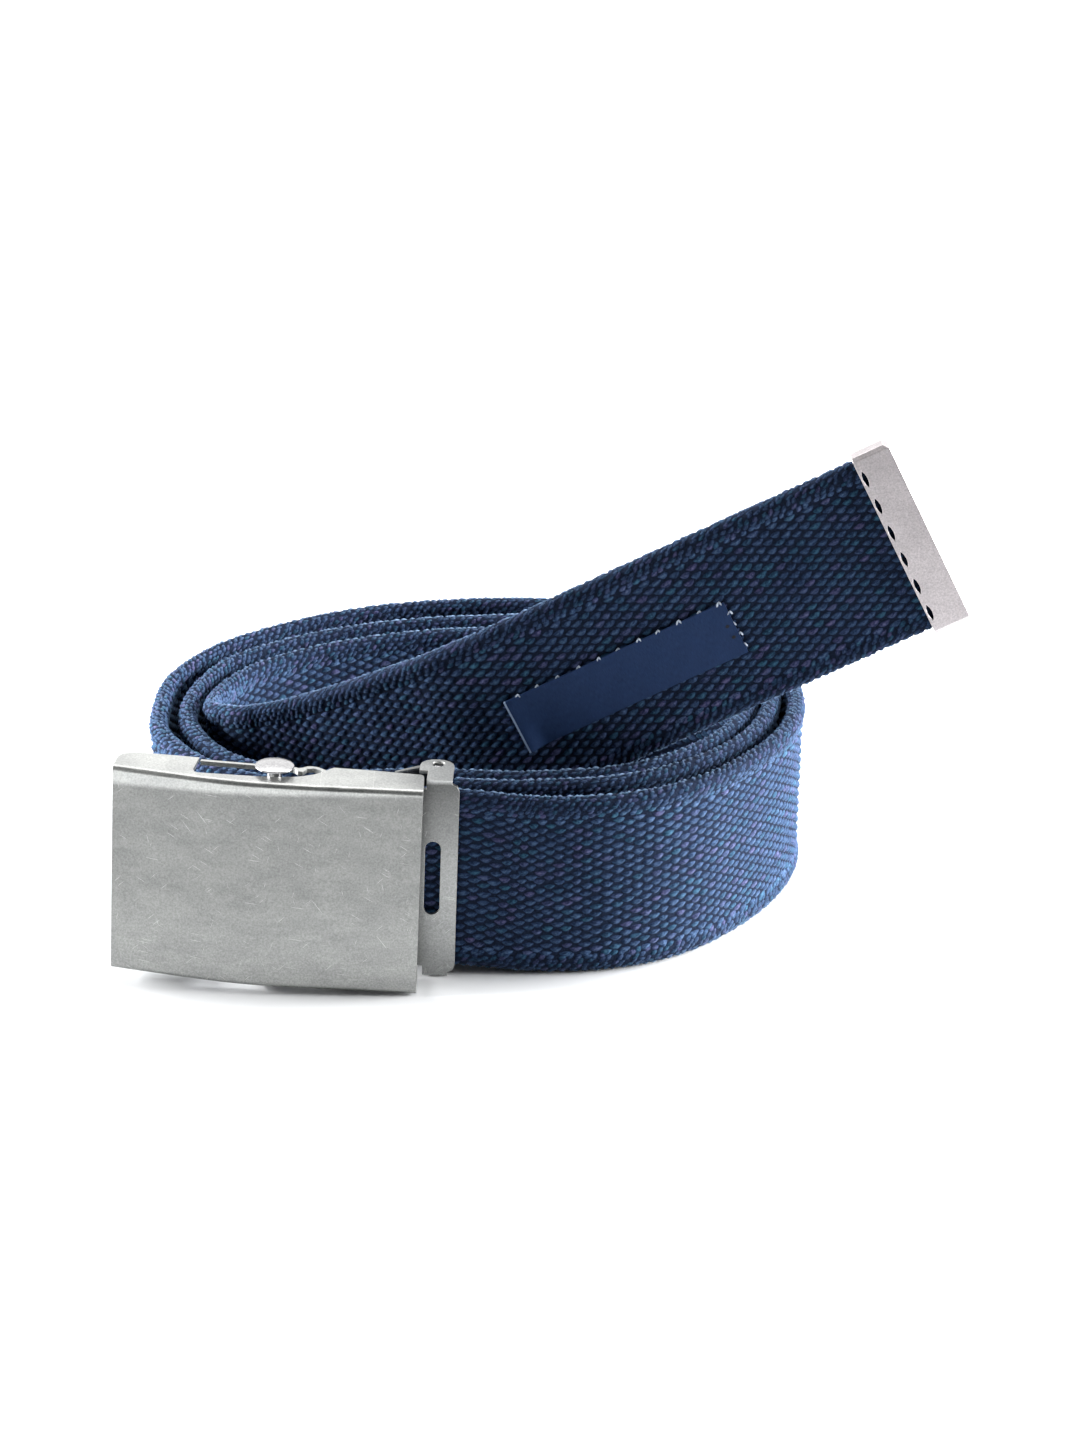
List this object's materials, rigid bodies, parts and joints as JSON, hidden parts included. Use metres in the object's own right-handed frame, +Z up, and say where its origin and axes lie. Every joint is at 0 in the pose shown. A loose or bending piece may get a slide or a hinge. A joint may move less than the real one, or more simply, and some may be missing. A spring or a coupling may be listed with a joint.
{
  "type": "web belt",
  "caption": "Woven web belt rolled up on its edge, with a slide buckle, a strap clamp, a woven label and a metal tip on the free end.",
  "frame": {"origin": "under the middle of the whole belt's box, on the surface that it stands on", "axes": "+X to the right along the buckle's face, +Y away from the buckle's face, +Z up across the webbing"},
  "size_m": [0.174, 0.1282, 0.1069],
  "materials": {
    "webbing": "matte coarse weave",
    "tip_metal": "satin",
    "label_satin": "satin weave",
    "worn_nickel": "antiqued and scratched",
    "bright_nickel": "polished"
  },
  "bodies": {
    "belt": {"webbing_strap": "webbing", "strap_tip": "tip_metal", "woven_label": "label_satin", "buckle_housing": "worn_nickel", "strap_clamp": "worn_nickel", "clamp_lever": "worn_nickel", "clamp_pin": "bright_nickel"},
    "roller": {"lock_roller": "bright_nickel"}
  },
  "joints": [
    {"name": "roller_slide", "type": "slide", "parent": "belt", "child": "roller", "axis": [0.9925, -0.1148, -0.0427], "range_m": [-0.0142, 0.0027]}
  ]
}
